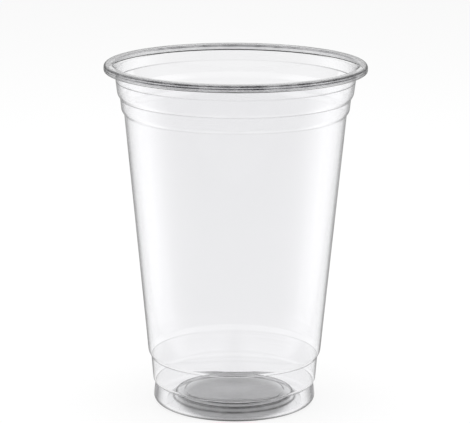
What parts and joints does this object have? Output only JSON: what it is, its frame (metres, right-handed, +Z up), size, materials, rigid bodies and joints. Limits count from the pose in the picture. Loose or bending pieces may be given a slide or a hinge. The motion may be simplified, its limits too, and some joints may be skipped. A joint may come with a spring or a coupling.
{
  "type": "disposable cup",
  "caption": "Clear thin-walled disposable drinks cup with a tapered side, stacking bands, a rolled rim for a lid and a raised base inside its foot ring.",
  "frame": {"origin": "middle of the foot ring, on the surface the cup stands on", "axes": "+Z up along the cup's axis, from the base to the open mouth"},
  "size_m": [0.0946, 0.0946, 0.1254],
  "materials": {
    "clear_plastic": "clear, smooth and glossy, as thermoformed"
  },
  "bodies": {
    "root": {"cup": "clear_plastic"}
  },
  "joints": []
}
